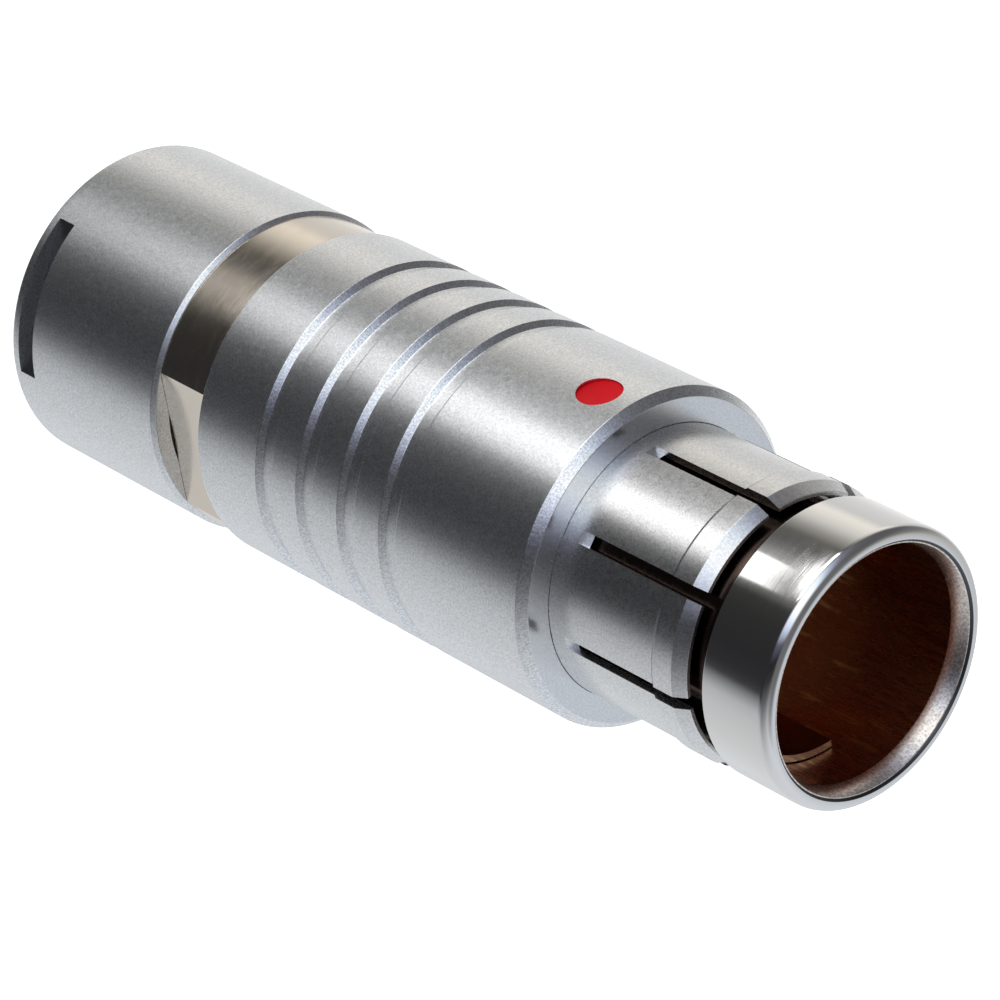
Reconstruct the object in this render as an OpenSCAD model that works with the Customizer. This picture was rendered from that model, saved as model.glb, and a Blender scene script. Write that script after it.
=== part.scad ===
// Push pull circular connector with a 25 mm shell, standing upright on its back nut.
// Z runs along the axis, from the nut's rear face at zero to the open mouth at the top.
// The index dot faces -Y, and the spanner flats of the body face +X and -X.

/* [Outside lengths] */
// Length of the back nut
nut_l = 17.2; // [14:0.1:24]
// Polished band left bare between the back nut and the grip
band_l = 5.2; // [4:0.1:9]
// Length of the grip sleeve
grip_l = 34.95; // [33:0.05:45]
// Reach of the latch fingers in front of the grip's face
latch_reach = 13.15; // [9:0.05:18]
// Gap between the finger tips and the front collar
tip_gap = 1.65; // [0.8:0.05:3]
// Length of the front collar
collar_l = 6.05; // [3:0.05:9]

/* [Diameters] */
// Step down from the grip to the back nut, on the radius
nut_step = 0.05; // [0:0.01:0.5]
// Step down from the grip to the polished band, on the radius
band_step = 0.35; // [0.25:0.01:0.8]
// Bore of the nose, which takes the mating half and sets the shell's size
bore_d = 17.2; // [15.5:0.1:20]
// Largest cable that the collet takes
cable_d = 12.4; // [8:0.1:13]

/* [Back nut] */
// Thickness of the rear wall behind the collet
nut_wall = 2.9; // [1.5:0.1:4]
// Radius of the rounded rear edge
nut_round = 0.35; // [0.2:0.05:1.2]
// Chamfer at the front edge
nut_chamfer = 0.3; // [0.1:0.05:0.6]
// Width across the two spanner flats at the rear
nut_flat_w = 21.8; // [20:0.1:23.5]
// Rim left behind the spanner flats
nut_rim = 0.9; // [0.3:0.05:2]
// Length of the spanner flats along the axis
nut_flat_l = 1.75; // [1:0.05:5]
// Turn of the nut's flats from the body's flats, in degrees
nut_flat_turn = -31; // [-90:1:90]
// Gap between the tightened nut and the band
nut_gap = 0.03; // [0.02:0.01:0.5]
// Pitch of the clamping thread
thread_pitch = 1; // [0.5:0.25:1.5]
// Step down from the body to its rear thread, on the radius
thread_step = 0.65; // [0.4:0.05:1]

/* [Cable collet] */
// Length of the collet's cone
taper_l = 3.7; // [2:0.1:6]
// Wall at the thin end of the cone
collet_wall = 1.8; // [1:0.1:2.5]
// Thickness of the flange that seats on the body
collet_flange_t = 1.2; // [0.8:0.1:2]
// Length of the stem that slides in the body
collet_stem_l = 6.6; // [5:0.1:9]
// Wall of the body around the stem
stem_wall = 1.4; // [1:0.05:1.8]
// Number of slits in the collet
collet_slits = 4; // [2:1:6]
// Width of each collet slit
collet_slit_w = 1.2; // [0.6:0.1:2]

/* [Body] */
// Width across the body's two spanner flats
body_flat_w = 21.5; // [20:0.1:23]
// Length of band that carries on inside the grip
lip_overlap = 1; // [0.5:0.1:2]
// Travel of the grip when it is pulled back
grip_travel = 2.5; // [1:0.1:3]
// Depth of the step that the insert seats on, on the radius
seat_step = 1; // [0.5:0.1:1.5]
// Length of the insert behind the insulator's face
insert_l = 22; // [18:0.1:26]

/* [Grip sleeve] */
// Wall of the grip where it slides on the body
grip_wall = 1.35; // [1:0.05:1.8]
// Wall of the grip around the front chamber
chamber_wall = 0.9; // [0.7:0.05:1.2]
// Thickness of the front flange
grip_flange_t = 2.4; // [1.2:0.1:4]
// Number of turned grooves
groove_count = 4; // [1:1:5]
// Distance from the grip's rear edge to the first groove
groove_start = 6.67; // [5.5:0.01:8]
// Spacing of the grooves
groove_pitch = 4.48; // [3:0.01:5]
// Width of each groove at the surface
groove_w = 1.8; // [1.2:0.05:2.5]
// Depth of each groove
groove_depth = 0.4; // [0.1:0.05:0.5]
// Chamfer at the rear edge of the grip
grip_rear_chamfer = 0.15; // [0.05:0.01:0.2]
// Length of the chamfer around the front face
face_chamfer_l = 0.66; // [0.2:0.01:1.2]
// Radial width of the chamfer around the front face
face_chamfer_w = 0.6; // [0.2:0.01:1.2]

/* [Index dot] */
// Diameter of the dot
dot_d = 3.3; // [1.5:0.1:4]
// Distance from the grip's front face to the dot's centre
dot_back = 3.65; // [2.5:0.05:6]
// Depth of the pocket that holds the fill
dot_pocket = 0.4; // [0.3:0.01:0.5]
// How far the fill stops short of the surface
dot_sunk = 0.15; // [0.12:0.01:0.2]

/* [Latch sleeve] */
// Wall of the latch sleeve's fingers
latch_wall = 0.6; // [0.45:0.05:1]
// Gap between the fingers and the nose tube, in which they flex
latch_gap = 0.45; // [0.25:0.01:0.6]
// Number of fingers
finger_count = 8; // [4:1:12]
// Width of the slits between fingers
slit_w = 0.95; // [0.5:0.05:1.5]
// Distance from the grip's face to the rear of the slits
slit_start = 1.45; // [0.5:0.05:4]
// Radius of the disc that cuts the slits
slit_cutter_r = 2.5; // [1:0.1:8]
// Turn of the slits from the index dot, in degrees
slit_turn = 2.5; // [-20:0.1:20]
// Length of the raised lug at the finger tips
lug_l = 2.8; // [1.8:0.05:4]
// Rise of the lug above the finger
lug_rise = 0.2; // [0.05:0.01:0.4]
// Length of the bevel at the finger tips
tip_bevel_l = 1; // [0.4:0.05:1.6]
// Drop of the bevel at the finger tips
tip_bevel_drop = 0.5; // [0.2:0.05:0.6]
// Length of the skirt that screws on the body
skirt_l = 3.9; // [2.5:0.1:5]
// Wall of the skirt
skirt_wall = 0.69; // [0.4:0.01:1]
// Thickness of the shoulder that clamps the nose tube
shoulder_t = 0.7; // [0.4:0.05:1.2]

/* [Nose tube and collar] */
// Wall of the nose tube inside the collar
nose_wall = 0.45; // [0.42:0.01:0.5]
// Step down from there to the neck under the fingers, on the radius
neck_step = 0.05; // [0.03:0.01:0.1]
// Thickness of the nose tube's clamped flange
nose_flange_t = 0.8; // [0.5:0.05:1.5]
// Width of the nose tube's clamped flange, on the radius
nose_flange_w = 1.3; // [0.9:0.05:1.6]
// Step up from the fingers to the collar, on the radius
collar_step = 0.05; // [0:0.01:0.3]
// Radius of the collar's rounded lip
lip_round = 0.75; // [0.2:0.05:0.8]
// How far the nose tube stops behind the collar's lip
lip_inset = 0.15; // [0.05:0.01:0.5]
// Length of the bevel at the mouth of the bore
mouth_bevel_l = 1.35; // [0.3:0.05:2]
// Radial width of the bevel at the mouth of the bore
mouth_bevel_w = 0.35; // [0.1:0.01:0.38]

/* [Retaining ring] */
// Thickness of the ring along the axis
ring_t = 1; // [0.6:0.05:1.4]
// Depth of the ring's groove in the body
ring_groove = 0.8; // [0.5:0.05:1.2]
// Distance from the ring to the latch sleeve's skirt
ring_back = 1.2; // [0.8:0.1:2]
// Width of the split in the ring
ring_split = 2; // [1:0.1:4]

/* [Insert] */
// Depth of the long half shell's end behind the lip
key_depth = 5.2; // [3:0.1:10]
// Wall of the two half shells
half_shell_wall = 0.5; // [0.3:0.05:0.8]
// Depth of the insulator's face behind the lip
insulator_depth = 19.8; // [16:0.1:22]
// Length of the insulator
insulator_l = 14; // [8:0.1:16]
// Width of the rib that locks the insulator in the half shells
rib_w = 2; // [1:0.1:4]
// Distance from the insulator's face to its rib
rib_back = 4; // [2:0.1:5]
// Height of the insulator's rib
rib_h = 0.25; // [0.1:0.01:0.26]
// Number of contacts on the outer circle
outer_contacts = 8; // [4:1:8]
// Diameter of a contact's barrel
contact_d = 2.3; // [1.6:0.1:2.3]
// Bore of a contact's socket and solder cup
contact_bore_d = 1.6; // [0.8:0.1:1.6]
// Depth of a contact's socket
socket_depth = 6; // [3:0.1:7]
// Length of solder cup behind the insulator
cup_l = 5; // [3:0.1:6]
// Distance from the outer contacts' centres to the insulator's rim
contact_inset = 2.55; // [2.2:0.05:2.8]
// Distance of each inner contact from the axis
inner_contact_r = 1.9; // [1.5:0.05:2]

/* [Fits] */
// Radial clearance of the sliding grip
slide_fit = 0.06; // [0.04:0.01:0.1]
// Radial clearance of the clamping thread
thread_fit = 0.1; // [0.05:0.01:0.15]
// Clearance of parts that are clamped or pushed together
seat_fit = 0.05; // [0.02:0.01:0.1]
// Clearance left at the end of the grip's travel
stop_gap = 0.1; // [0.05:0.01:0.3]

/* [Hidden] */
$fn = 96;
cut = 0.5;
contact_count = outer_contacts + 2;
fixed_nodes = ["back_nut", "cable_collet", "rear_body", "grip_sleeve", "index_dot", "retaining_ring",
    "latch_sleeve", "nose_tube", "front_collar", "long_half_shell", "short_half_shell", "insulator"];

// Stations along the axis, from the rear to the mouth
z_taper_rear = nut_wall;
z_flange_rear = z_taper_rear + taper_l;
z_body_rear = z_flange_rear + collet_flange_t + seat_fit;
z_shoulder = nut_l + nut_gap;
z_grip_rear = nut_l + band_l;
z_band_end = z_grip_rear + lip_overlap;
z_land_rear = z_band_end + grip_travel + stop_gap;
z_grip_front = z_grip_rear + grip_l;
z_grip_flange = z_grip_front - grip_flange_t;
z_skirt_front = z_grip_flange - grip_travel - stop_gap;
z_skirt_rear = z_skirt_front - skirt_l;
z_clamp = z_skirt_front - shoulder_t;
z_body_front = z_clamp - nose_flange_t;
z_ring_rear = z_skirt_rear - ring_back - ring_t;
z_tip = z_grip_front + latch_reach;
z_collar_rear = z_tip + tip_gap;
z_mouth = z_collar_rear + collar_l;
z_nose_front = z_mouth - lip_inset;
z_long_front = z_mouth - key_depth;
z_insulator_front = z_mouth - insulator_depth;
z_insulator_rear = z_insulator_front - insulator_l;
z_short_front = z_insulator_front + half_shell_wall;
z_seat = z_insulator_front - insert_l;

// Radii, from the bore out to the grip
bore_r = bore_d / 2;
nose_r = bore_r + nose_wall;
neck_r = nose_r - neck_step;
finger_bore_r = neck_r + latch_gap;
latch_r = finger_bore_r + latch_wall;
collar_r = latch_r + collar_step;
spigot_r = nose_r + nose_flange_w;
body_r = spigot_r + seat_fit + skirt_wall;
land_bore_r = body_r + slide_fit;
grip_r = land_bore_r + grip_wall;
nut_r = grip_r - nut_step;
band_r = grip_r - band_step;
lip_bore_r = band_r + slide_fit;
chamber_r = grip_r - chamber_wall;
ring_bore_r = body_r - ring_groove + seat_fit;
ring_r = chamber_r - stop_gap;

// Radii at the rear end and in the insert
thread_r = body_r - thread_step;
stem_bore_r = thread_r - stem_wall;
stem_r = stem_bore_r - thread_fit;
collet_flange_r = (thread_r + stem_r) / 2;
cable_r = cable_d / 2;
cone_r = cable_r + collet_wall;
nut_opening_r = cable_r + collet_wall / 2;
seat_r = bore_r - seat_step;
half_shell_r = bore_r - 2 * seat_fit;
half_shell_bore_r = half_shell_r - half_shell_wall;
insulator_r = half_shell_bore_r - seat_fit;
contact_r = contact_d / 2;
contact_bore_r = contact_bore_d / 2;
contact_circle_r = insulator_r - contact_inset;

// Points of a quarter round about [x, y], from angle a to a + 90
function quarter(x, y, r, a, steps = 6) =
    [for (i = [0 : steps]) [x + r * cos(a + i * 90 / steps), y + r * sin(a + i * 90 / steps)]];

// A turned piece from its half section, given as [radius, height] points
module turned(section) {
    rotate_extrude() polygon(section);
}

// Two flats facing +X and -X, a width w apart, cut from z0 to z1 out of a round of radius r
module flats_cut(w, r, z0, z1) {
    for (side = [0, 180])
        rotate([0, 0, side])
            translate([w / 2, -r, z0])
                cube([r, 2 * r, z1 - z0]);
}

// Keeps the half of its child on the +X side of the split plane, or on the -X side
module half_of(side, r, z0, z1) {
    intersection() {
        children();
        translate([side > 0 ? seat_fit : -r - seat_fit, -r, z0])
            cube([r, 2 * r, z1 - z0]);
    }
}

module back_nut() {
    thread_bore_r = thread_r + thread_fit;
    lead_in = nut_chamfer + thread_fit;
    section = concat(
        [[nut_opening_r, 0]],
        quarter(nut_r - nut_round, nut_round, nut_round, -90),
        [
            [nut_r, nut_l - nut_chamfer],
            [nut_r - nut_chamfer, nut_l],
            [thread_bore_r + lead_in, nut_l],
            [thread_bore_r, nut_l - lead_in],
            [thread_bore_r, z_flange_rear],
            [collet_flange_r + thread_fit, z_flange_rear],
            [cone_r + thread_fit, z_taper_rear],
            [nut_opening_r, z_taper_rear]
        ]);
    color("silver") difference() {
        turned(section);
        rotate([0, 0, nut_flat_turn])
            flats_cut(nut_flat_w, grip_r, nut_rim, nut_rim + nut_flat_l);
    }
}

module cable_collet() {
    z_front = z_flange_rear + collet_flange_t + collet_stem_l;
    z_rear = z_taper_rear + seat_fit;
    slit_l = taper_l + collet_flange_t + collet_stem_l / 2;
    color("goldenrod") difference() {
        turned([
            [cable_r, z_rear],
            [cone_r, z_rear],
            [collet_flange_r, z_flange_rear],
            [collet_flange_r, z_flange_rear + collet_flange_t],
            [stem_r, z_flange_rear + collet_flange_t],
            [stem_r, z_front],
            [cable_r, z_front]
        ]);
        for (i = [0 : collet_slits - 1])
            rotate([0, 0, (i + 0.5) * 360 / collet_slits])
                translate([0, -collet_slit_w / 2, z_rear - cut])
                    cube([grip_r, collet_slit_w, slit_l + cut]);
    }
}

module rear_body() {
    z_stem_end = z_body_rear + collet_stem_l + stop_gap;
    ring_floor_r = body_r - ring_groove;
    color("tan") difference() {
        turned([
            [stem_bore_r, z_body_rear],
            [thread_r, z_body_rear],
            [thread_r, z_shoulder],
            [band_r, z_shoulder],
            [band_r, z_band_end],
            [body_r, z_band_end],
            [body_r, z_ring_rear - seat_fit],
            [ring_floor_r, z_ring_rear - seat_fit],
            [ring_floor_r, z_ring_rear + ring_t + seat_fit],
            [body_r, z_ring_rear + ring_t + seat_fit],
            [body_r, z_skirt_rear - seat_fit],
            [spigot_r, z_skirt_rear - seat_fit],
            [spigot_r, z_body_front],
            [bore_r, z_body_front],
            [bore_r, z_seat],
            [seat_r, z_seat],
            [seat_r, z_stem_end],
            [stem_bore_r, z_stem_end]
        ]);
        flats_cut(body_flat_w, grip_r, z_shoulder - cut, z_band_end + cut);
    }
}

// Section of one turned groove with its rear edge at z
function groove_section(z) = [
    [grip_r, z],
    [grip_r - groove_depth, z + groove_depth],
    [grip_r - groove_depth, z + groove_w - groove_depth],
    [grip_r, z + groove_w]
];

module grip_sleeve() {
    grooves = [for (i = [0 : groove_count - 1])
        each groove_section(z_grip_rear + groove_start + i * groove_pitch)];
    section = concat(
        [[lip_bore_r, z_grip_rear], [grip_r - grip_rear_chamfer, z_grip_rear]],
        [[grip_r, z_grip_rear + grip_rear_chamfer]],
        grooves,
        [
            [grip_r, z_grip_front - face_chamfer_l],
            [grip_r - face_chamfer_w, z_grip_front],
            [latch_r + slide_fit, z_grip_front],
            [latch_r + slide_fit, z_grip_flange],
            [chamber_r, z_grip_flange],
            [chamber_r, z_ring_rear - seat_fit],
            [land_bore_r, z_ring_rear - seat_fit],
            [land_bore_r, z_land_rear],
            [lip_bore_r, z_land_rear]
        ]);
    color("lightgray") difference() {
        turned(section);
        at_dot(grip_r - dot_pocket) cylinder(h = grip_r, d = dot_d);
    }
}

// Places its child on the index dot's axis, at a distance y from the connector's axis
module at_dot(y) {
    translate([0, -y, z_grip_front - dot_back]) rotate([90, 0, 0]) children();
}

module index_dot() {
    color("red") at_dot(grip_r - dot_pocket) cylinder(h = dot_pocket - dot_sunk, d = dot_d);
}

module retaining_ring() {
    color("dimgray") difference() {
        turned([
            [ring_bore_r, z_ring_rear],
            [ring_r, z_ring_rear],
            [ring_r, z_ring_rear + ring_t],
            [ring_bore_r, z_ring_rear + ring_t]
        ]);
        translate([0, -ring_split / 2, z_ring_rear - cut])
            cube([grip_r, ring_split, ring_t + 2 * cut]);
    }
}

// One slit, cut by a disc that comes in at the finger tips and runs out behind them
module slit_cut() {
    disc_r = finger_bore_r - latch_gap + slit_cutter_r;
    run_out = sqrt(pow(slit_cutter_r, 2) - pow(disc_r - latch_r, 2));
    z_disc = z_grip_front + slit_start + run_out;
    translate([disc_r, slit_w / 2, z_disc])
        rotate([90, 0, 0])
            cylinder(h = slit_w, r = slit_cutter_r);
    translate([neck_r, -slit_w / 2, z_disc])
        cube([latch_wall + latch_gap + lug_rise + cut, slit_w, z_tip + cut - z_disc]);
}

module latch_sleeve() {
    z_lug = z_tip - lug_l;
    lug_r = latch_r + lug_rise;
    color("silver") difference() {
        turned([
            [spigot_r + seat_fit, z_skirt_rear],
            [body_r, z_skirt_rear],
            [body_r, z_skirt_front],
            [latch_r, z_skirt_front],
            [latch_r, z_lug - lug_rise],
            [lug_r, z_lug],
            [lug_r, z_tip - tip_bevel_l],
            [lug_r - tip_bevel_drop, z_tip],
            [finger_bore_r, z_tip],
            [finger_bore_r, z_clamp],
            [spigot_r + seat_fit, z_clamp]
        ]);
        for (i = [0 : finger_count - 1])
            rotate([0, 0, i * 360 / finger_count - 90 + slit_turn])
                slit_cut();
    }
}

module nose_tube() {
    color("darkgoldenrod") turned([
        [bore_r, z_body_front],
        [spigot_r, z_body_front],
        [spigot_r, z_clamp],
        [neck_r, z_clamp],
        [neck_r, z_collar_rear],
        [nose_r, z_collar_rear],
        [nose_r, z_nose_front],
        [bore_r + mouth_bevel_w, z_nose_front],
        [bore_r, z_nose_front - mouth_bevel_l]
    ]);
}

module front_collar() {
    edge = lip_inset;
    section = concat(
        [[nose_r, z_collar_rear], [collar_r - edge, z_collar_rear], [collar_r, z_collar_rear + edge]],
        quarter(collar_r - lip_round, z_mouth - lip_round, lip_round, 0),
        [[nose_r + edge, z_mouth], [nose_r, z_mouth - edge]]);
    color("silver") turned(section);
}

// The tube that the two half shells are cut from, with the groove for the insulator's rib
module half_shell_blank(z_front) {
    z_rib = z_insulator_front - rib_back;
    groove_r = half_shell_bore_r + rib_h;
    turned([
        [half_shell_bore_r, z_seat],
        [half_shell_r, z_seat],
        [half_shell_r, z_front],
        [half_shell_bore_r, z_front],
        [half_shell_bore_r, z_rib + seat_fit],
        [groove_r, z_rib + seat_fit],
        [groove_r, z_rib - rib_w - seat_fit],
        [half_shell_bore_r, z_rib - rib_w - seat_fit]
    ]);
}

module long_half_shell() {
    color("gray") half_of(1, bore_r, z_seat, z_long_front) half_shell_blank(z_long_front);
}

module short_half_shell() {
    color("gray") half_of(-1, bore_r, z_seat, z_short_front) half_shell_blank(z_short_front);
}

// Angle and distance from the axis of contact i, counted from 1, with the two inner ones last
function contact_angle(i) = i <= outer_contacts
    ? (i - 1) * 360 / outer_contacts - 90
    : (i - outer_contacts) * 180;
function contact_distance(i) = i <= outer_contacts ? contact_circle_r : inner_contact_r;

module at_contact(i) {
    rotate([0, 0, contact_angle(i)]) translate([contact_distance(i), 0, 0]) children();
}

module insulator() {
    z_rib = z_insulator_front - rib_back;
    color("ivory") difference() {
        turned([
            [0, z_insulator_rear],
            [insulator_r, z_insulator_rear],
            [insulator_r, z_rib - rib_w],
            [insulator_r + rib_h, z_rib - rib_w],
            [insulator_r + rib_h, z_rib],
            [insulator_r, z_rib],
            [insulator_r, z_insulator_front],
            [0, z_insulator_front]
        ]);
        for (i = [1 : contact_count])
            at_contact(i)
                translate([0, 0, z_insulator_rear - cut])
                    cylinder(h = insulator_l + 2 * cut, r = contact_r + seat_fit);
    }
}

// A socket contact, with its socket at the front and an open solder cup at the rear
module contact(i) {
    z_front = z_insulator_front - half_shell_wall;
    z_cup_rear = z_insulator_rear - cup_l;
    cup_depth = cup_l - contact_r;
    color("gold") at_contact(i) difference() {
        turned([
            [0, z_cup_rear + cup_depth],
            [contact_bore_r, z_cup_rear + cup_depth],
            [contact_bore_r, z_cup_rear],
            [contact_r, z_cup_rear],
            [contact_r, z_front],
            [contact_bore_r, z_front],
            [contact_bore_r, z_front - socket_depth],
            [0, z_front - socket_depth]
        ]);
        translate([0, -contact_r, z_cup_rear - cut])
            cube([contact_d, contact_d, cup_depth / 2 + cut]);
    }
}

back_nut();
cable_collet();
rear_body();
grip_sleeve();
index_dot();
retaining_ring();
latch_sleeve();
nose_tube();
front_collar();
long_half_shell();
short_half_shell();
insulator();
for (i = [1 : contact_count]) contact(i);
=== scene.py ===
from math import acos, asin, atan2, cos, hypot, pi, radians, sin, sqrt, tan
import bmesh
import bpy
from mathutils import Matrix, Vector


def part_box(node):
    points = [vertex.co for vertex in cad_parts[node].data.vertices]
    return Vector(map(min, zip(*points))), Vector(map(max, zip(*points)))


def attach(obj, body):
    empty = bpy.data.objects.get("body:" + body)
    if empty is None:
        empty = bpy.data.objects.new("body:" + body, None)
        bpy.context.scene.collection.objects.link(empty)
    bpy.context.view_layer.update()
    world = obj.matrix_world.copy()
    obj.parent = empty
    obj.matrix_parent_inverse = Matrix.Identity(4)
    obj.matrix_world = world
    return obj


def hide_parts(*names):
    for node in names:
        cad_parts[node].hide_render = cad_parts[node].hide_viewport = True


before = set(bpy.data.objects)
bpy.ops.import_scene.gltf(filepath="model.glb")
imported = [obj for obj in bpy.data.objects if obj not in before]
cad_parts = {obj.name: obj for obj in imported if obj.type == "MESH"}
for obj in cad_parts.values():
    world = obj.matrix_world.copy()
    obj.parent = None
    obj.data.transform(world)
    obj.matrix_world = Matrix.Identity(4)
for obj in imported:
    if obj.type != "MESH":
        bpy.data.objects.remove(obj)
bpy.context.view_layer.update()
mm = 0.001


def stations(node):
    # lowest and highest z, and outer radius of a node, in millimetres
    low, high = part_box(node)
    return low.z / mm, high.z / mm, max(high.x, high.y) / mm


def softened(section, radius, steps=5, support=0.03):
    # rounds every real corner of a closed section and lays a support point beside each round
    points = []
    count = len(section)
    for i in range(count):
        r, z = section[i][0], section[i][1]
        own = section[i][2] if len(section[i]) > 2 else radius
        before = Vector(section[i - 1][:2])
        here = Vector((r, z))
        after = Vector(section[(i + 1) % count][:2])
        inLength = (here - before).length
        outLength = (after - here).length
        inDir = (here - before) / inLength
        outDir = (after - here) / outLength
        turn = acos(max(-1.0, min(1.0, inDir.dot(outDir))))
        if turn < radians(12) or own <= 0:
            points.append((r, z))
            continue
        setback = min(own * tan(turn / 2), 0.42 * min(inLength, outLength))
        arc = setback / tan(turn / 2)
        side = 1 if inDir.x * outDir.y - inDir.y * outDir.x > 0 else -1
        start = here - inDir * setback
        centre = start + Vector((-inDir.y, inDir.x)) * arc * side
        if inLength > 3 * setback:
            points.append(tuple(start - inDir * min(support, setback)))
        pieces = max(2, round(steps * turn / (pi / 2)))
        for k in range(pieces + 1):
            swing = side * turn * k / pieces
            arm = start - centre
            points.append((centre.x + arm.x * cos(swing) - arm.y * sin(swing),
                           centre.y + arm.x * sin(swing) + arm.y * cos(swing)))
        if outLength > 3 * setback:
            points.append(tuple(here + outDir * (setback + min(support, setback))))
    return points


def quarter(x, y, r, startDeg, steps=8):
    return [(x + r * cos(radians(startDeg + 90 * i / steps)),
             y + r * sin(radians(startDeg + 90 * i / steps)), 0) for i in range(steps + 1)]


def aroundAngles(count, flats=None):
    # evenly spaced columns, plus one on each corner of a pair of flats
    angles = [2 * pi * i / count for i in range(count)]
    if flats:
        half = acos(flats["width"] / 2 / flats["radius"])
        for side in (0, pi):
            for corner in (-half, half):
                angle = (radians(flats["turn"]) + side + corner) % (2 * pi)
                near = min(range(len(angles)), key=lambda i: abs((angles[i] - angle + pi) % (2 * pi) - pi))
                angles[near] = angle
    return sorted(angles)


def turned(name, section, angles, flats=None):
    # a turned piece from its closed section of (radius, height) in millimetres
    verts, faces = [], []
    rows, columns = len(section), len(angles)
    for r, z in section:
        for a in angles:
            radius = r
            if flats and flats["low"] <= z <= flats["high"]:
                reach = abs(cos(a - radians(flats["turn"])))
                if r * reach > flats["width"] / 2:
                    radius = flats["width"] / 2 / reach
            verts.append((radius * cos(a) * mm, radius * sin(a) * mm, z * mm))
    for i in range(rows):
        for k in range(columns):
            nextRow, nextCol = (i + 1) % rows, (k + 1) % columns
            faces.append((i * columns + k, i * columns + nextCol,
                          nextRow * columns + nextCol, nextRow * columns + k))
    mesh = bpy.data.meshes.new(name)
    mesh.from_pydata(verts, [], faces)
    return finishedMesh(name, mesh)


def finishedMesh(name, mesh, sharpDeg=20):
    obj = bpy.data.objects.new(name, mesh)
    bpy.context.scene.collection.objects.link(obj)
    cleaned(obj, sharpDeg)
    return obj


def cleaned(obj, sharpDeg=20):
    # merges doubles, turns the faces outward and keeps only real corners sharp
    shape = bmesh.new()
    shape.from_mesh(obj.data)
    bmesh.ops.remove_doubles(shape, verts=shape.verts, dist=2e-7)
    bmesh.ops.recalc_face_normals(shape, faces=shape.faces)
    shape.to_mesh(obj.data)
    shape.free()
    obj.data.shade_smooth()
    obj.data.set_sharp_from_angle(angle=radians(sharpDeg))
    obj.data.update()


def faced(piece, material, test):
    # gives the faces that pass a test of (radius, height, upward share of the normal) another finish
    piece.data.materials.append(material)
    for face in piece.data.polygons:
        spot = face.center
        if test(hypot(spot.x, spot.y) / mm, spot.z / mm, face.normal.z):
            face.material_index = len(piece.data.materials) - 1


def addNode(tree, kind, place=(0, 0), **settings):
    node = tree.nodes.new(kind)
    node.location = place
    for key, value in settings.items():
        setattr(node, key, value)
    return node


def freshTree(name, inputs):
    tree = bpy.data.node_groups.new(name, "GeometryNodeTree")
    tree.interface.new_socket("Geometry", in_out="OUTPUT", socket_type="NodeSocketGeometry")
    tree.interface.new_socket("Geometry", in_out="INPUT", socket_type="NodeSocketGeometry")
    for label, kind in inputs:
        tree.interface.new_socket(label, in_out="INPUT", socket_type="NodeSocket" + kind)
    return tree, addNode(tree, "NodeGroupInput", (-900, 0)), addNode(tree, "NodeGroupOutput", (900, 0))


def grown(obj, tree, values):
    # runs a tree on an object and keeps the result as its plain mesh
    modifier = obj.modifiers.new(tree.name, "NODES")
    modifier.node_group = tree
    for item in tree.interface.items_tree:
        if item.in_out == "INPUT" and item.name in values:
            modifier[item.identifier] = values[item.name]
    depsgraph = bpy.context.evaluated_depsgraph_get()
    depsgraph.update()
    mesh = bpy.data.meshes.new_from_object(obj.evaluated_get(depsgraph), depsgraph=depsgraph)
    obj.modifiers.clear()
    obj.data = mesh
    return obj


def placed(piece, body, slot, *nodes):
    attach(piece, body)
    if nodes:
        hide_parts(*nodes)
    print("piece", piece.name, len(piece.data.polygons), "faces")


def metal(name, colour, roughness):
    material = bpy.data.materials.new(name)
    material.use_nodes = True
    tree = material.node_tree
    shader = tree.nodes["Principled BSDF"]
    shader.inputs["Metallic"].default_value = 1.0
    shader.inputs["Base Color"].default_value = (*colour, 1)
    shader.inputs["Roughness"].default_value = roughness
    return material, tree, shader


def stretchedNoise(tree, scale, stretch=(1, 1, 1), detail=3.0, rough=0.6, place=(-900, 0)):
    # a noise on Object coordinates, drawn out along one axis by its Mapping
    coords = addNode(tree, "ShaderNodeTexCoord", (place[0] - 400, place[1]))
    mapping = addNode(tree, "ShaderNodeMapping", (place[0] - 200, place[1]))
    mapping.inputs["Scale"].default_value = stretch
    noise = addNode(tree, "ShaderNodeTexNoise", place)
    noise.inputs["Scale"].default_value = scale
    noise.inputs["Detail"].default_value = detail
    noise.inputs["Roughness"].default_value = rough
    tree.links.new(coords.outputs["Object"], mapping.inputs["Vector"])
    tree.links.new(mapping.outputs["Vector"], noise.inputs["Vector"])
    return noise


def ranged(tree, source, low, high, fromLow=0.3, fromHigh=0.7, place=(-500, 0)):
    node = addNode(tree, "ShaderNodeMapRange", place)
    node.inputs["From Min"].default_value = fromLow
    node.inputs["From Max"].default_value = fromHigh
    node.inputs["To Min"].default_value = low
    node.inputs["To Max"].default_value = high
    tree.links.new(source, node.inputs["Value"])
    return node.outputs["Result"]


def mixedColour(tree, factor, first, second, place):
    # a colour that goes from first to second, where each is an (r, g, b) or another node's output
    node = addNode(tree, "ShaderNodeMix", place, data_type="RGBA")
    ends = [socket for socket in node.inputs if socket.type == "RGBA"]
    for socket, value in zip(ends, (first, second)):
        if isinstance(value, tuple):
            socket.default_value = (*value, 1)
        else:
            tree.links.new(value, socket)
    tree.links.new(factor, node.inputs["Factor"])
    return [socket for socket in node.outputs if socket.type == "RGBA"][0]


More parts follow.
